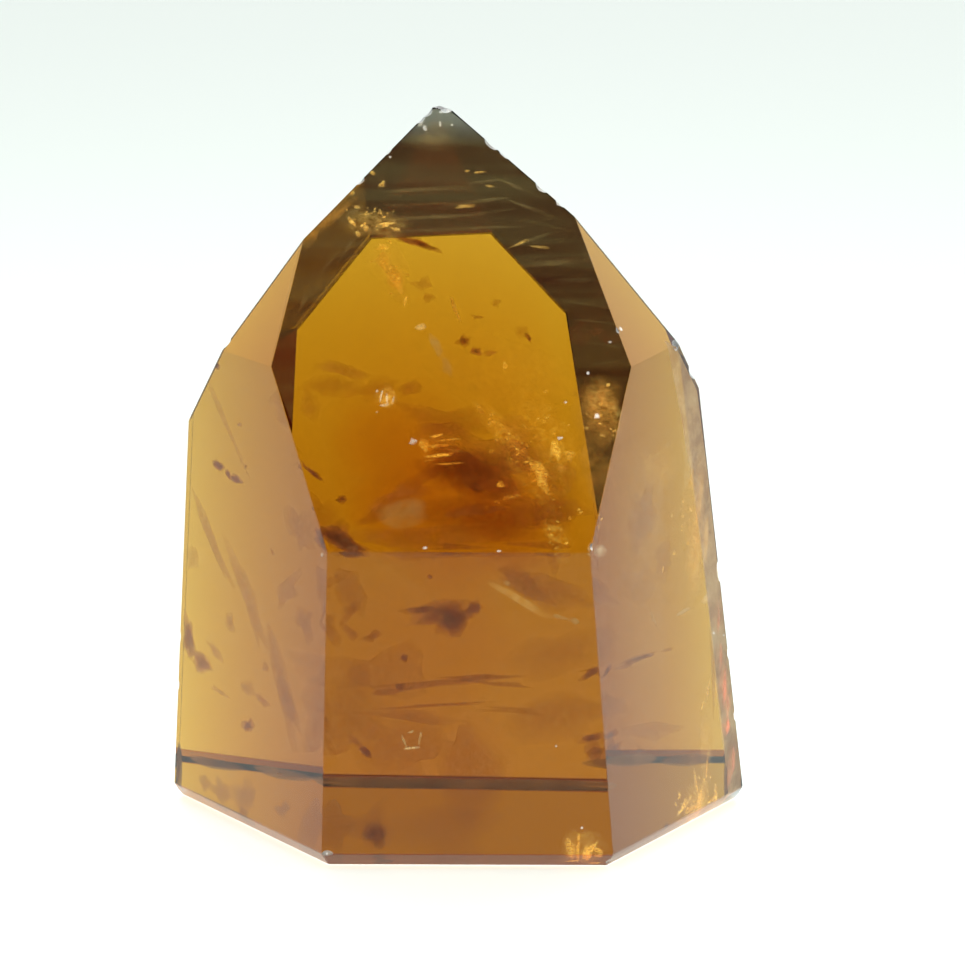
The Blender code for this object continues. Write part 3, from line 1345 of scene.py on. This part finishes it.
@dataclass
class RimHaze(HazeSheet):
    """The hazy strip down the right edge, full of fine cracks."""

    name: str = "rim_haze"
    finish: OliveHaze | Film = Film(
        "cracked_rim_haze", "B88850", "ECCC94", 3.0 * MM, broken=0.1, strength=0.62
    )
    overlap: float = 0.3 * MM
    depth: float = 0.1 * MM
    inner: Sequence[Pair] = (
        (664, 340), (678, 400), (692, 480), (703, 560), (712, 640), (720, 720), (726, 765), (726, 798),
    )
    outer: Sequence[Pair] = (
        (674, 345), (695, 392), (705, 470), (715, 560), (725, 640), (735, 730), (739, 770), (738, 790),
    )


# ---- studio


@dataclass
class Studio:
    """The pale floor, the light round it and the camera.

    The tent's light is given by the way it comes from: by how far that way points up, back and to
    the right, each from -1 to 1.
    """

    floor_size: float = 3.0
    air_gap: float = 0.02 * MM
    left_wall: float = 0.95
    right_wall: float = 1.4
    side_reach: float = 0.85
    front_wall: float = 0.18
    front_top: float = 0.03
    front_dims_from: float = 0.25
    front_dims_to: float = 0.60
    dim_up_to: float = -0.45
    bright_from: float = 0.15
    softbox_size: float = 160.0 * MM
    softbox_behind: float = 60.0 * MM
    softbox_height: float = 230.0 * MM
    softbox_power: float = 0.5
    light_colour: Triple = (0.95, 1.0, 0.97)
    nearest_seen: float = 10.0 * MM
    farthest_seen: float = 10.0
    bounces: int = 32
    floor_finish: WhiteBoard = WhiteBoard()
    view: FrontView = FrontView()

    def lay_floor(self) -> None:
        """Lay the floor under the crystal."""
        bm = bmesh.new()
        bmesh.ops.create_grid(bm, x_segments=1, y_segments=1, size=self.floor_size / 2)
        bmesh.ops.translate(bm, vec=(0.0, 0.0, -self.air_gap), verts=bm.verts)
        floor = finished_piece("floor", bm, self.floor_finish.material())

    def light_tent(self) -> None:
        """Surround the set with soft light: bright behind and at the right, dim in front."""
        world = bpy.data.worlds.new("light_tent")
        world.use_nodes = True
        tree = world.node_tree
        tree.nodes.clear()
        way = add_node(tree, "TexCoord").outputs["Generated"]
        parts = add_node(tree, "SeparateXYZ", links={0: way}).outputs
        smooth = {"interpolation_type": "SMOOTHSTEP"}
        heights = {"From Min": self.front_dims_from, "From Max": self.front_dims_to}
        dims = {"To Min": self.front_wall, "To Max": self.front_top}
        front = add_node(tree, "MapRange", {**smooth, **heights, **dims}, {"Value": parts["Z"]}).outputs[0]
        depths = {"From Min": self.dim_up_to, "From Max": self.bright_from, "To Max": 1.0}
        walls = add_node(tree, "MapRange", {**smooth, **depths}, {"Value": parts["Y"], "To Min": front})
        reach = {"From Min": -self.side_reach, "From Max": self.side_reach}
        sides = {"To Min": self.left_wall, "To Max": self.right_wall}
        sideways = add_node(tree, "MapRange", {**reach, **sides}, {"Value": parts["X"]})
        both = {0: walls.outputs[0], 1: sideways.outputs[0]}
        strength = add_node(tree, "Math", {"operation": "MULTIPLY"}, both).outputs[0]
        light = add_node(tree, "Background", {"Color": (*self.light_colour, 1.0)}, {"Strength": strength})
        add_node(tree, "OutputWorld", links={"Surface": light.outputs[0]})
        bpy.context.scene.world = world

    def hang_softbox(self) -> None:
        """Hang a soft box over the set, a little behind the crystal."""
        data = bpy.data.lights.new("softbox", "AREA")
        data.shape = "SQUARE"
        data.size = self.softbox_size
        data.energy = self.softbox_power
        data.color = self.light_colour
        softbox = bpy.data.objects.new("softbox", data)
        softbox.location = (0.0, self.softbox_behind, self.softbox_height)
        softbox.visible_camera = False
        bpy.context.scene.collection.objects.link(softbox)

    def set_camera(self) -> None:
        """Set up the camera."""
        data = bpy.data.cameras.new("camera")
        data.lens = self.view.focal_length
        data.sensor_width = self.view.sensor_width
        data.clip_start = self.nearest_seen
        data.clip_end = self.farthest_seen
        camera = bpy.data.objects.new("camera", data)
        camera.matrix_world = self.view.matrix()
        bpy.context.scene.collection.objects.link(camera)
        bpy.context.scene.camera = camera

    def build(self) -> None:
        """Lay the floor, light it and set the camera."""
        self.lay_floor()
        self.light_tent()
        self.hang_softbox()
        self.set_camera()
        scene = bpy.context.scene
        scene.view_settings.view_transform = "Standard"
        scene.cycles.max_bounces = self.bounces
        scene.cycles.transmission_bounces = self.bounces
        scene.cycles.transparent_max_bounces = self.bounces


def main() -> None:
    """Build each piece in order and report it."""
    logging.basicConfig(level=logging.INFO, format="%(name)s: %(message)s")
    view = FrontView()
    sight = Sight(view)
    parts = (
        Crystal(), TipBandShade(), TipHaze(), OliveLines(), GoldenHaze(), FootShade(), IronStains(),
        PaintedAmberLight(), GoldenVeils(), GoldenFractures(), MilkyVeils(), RimHaze(), PaintedRedReflections(), Bruises(),
    )
    for part in parts:
        piece = part.build(sight)
        log.info("%s: %d faces", piece.name, len(piece.data.polygons))
    Studio(view=view).build()


if __name__ == "__main__":
    main()
